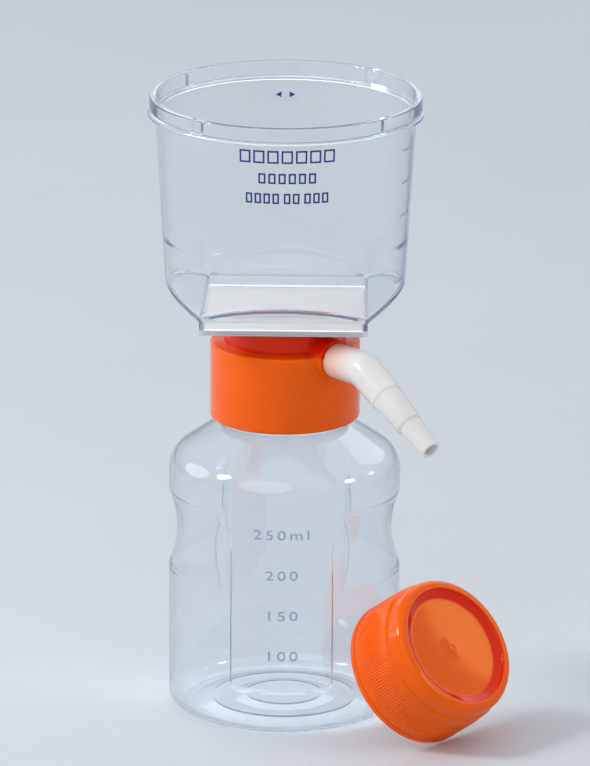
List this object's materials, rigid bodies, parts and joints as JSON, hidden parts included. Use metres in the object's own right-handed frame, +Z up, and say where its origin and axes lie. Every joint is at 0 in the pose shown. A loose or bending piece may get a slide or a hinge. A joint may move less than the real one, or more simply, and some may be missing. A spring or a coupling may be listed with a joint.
{
  "type": "vacuum filtration unit",
  "caption": "Disposable lab filter: clear funnel cup with square membrane on an orange screw collar with hose connector, over a clear storage bottle, its cap leaning on it.",
  "frame": {"origin": "centre of the bottle's foot, on the surface that it stands on", "axes": "+Z up the bottle's axis to the funnel's mouth; -Y is the side with the graduated panel; +X is to its right"},
  "size_m": [0.1166, 0.106, 0.2023],
  "materials": {
    "bottle_clear": "clear moulded polystyrene",
    "cup_clear": "clear moulded polystyrene",
    "orange": "glossy orange polyethylene",
    "natural_white": "translucent natural polypropylene",
    "membrane": "smooth white filter membrane",
    "seal": "soft pale seal"
  },
  "bodies": {
    "bottle": {"storage_bottle": "bottle_clear", "cap": "orange"},
    "seal": {"seal_ring": "seal"},
    "filter_head": {"collar": "orange", "filter_base": "cup_clear", "membrane": "membrane", "funnel_cup": "cup_clear"},
    "connector": {"hose_connector": "natural_white"}
  },
  "joints": [
    {"name": "head_rise", "type": "slide", "parent": "bottle", "child": "seal", "axis": [0, 0, 1], "range_m": [0, 0.0061]},
    {"name": "head_turn", "type": "hinge", "parent": "seal", "child": "filter_head", "pos_m": [0, 0, 0.1154], "axis": [0, 0, 1], "range_deg": [0, 540]},
    {"name": "connector_swivel", "type": "hinge", "parent": "filter_head", "child": "connector", "pos_m": [0.01479, -0.01696, 0.1201], "axis": [0.6574, -0.7536, 0], "continuous": true}
  ],
  "couplings": [
    {"joint": "head_rise", "follows": "head_turn", "m_per_rad": 0.00063662}
  ]
}
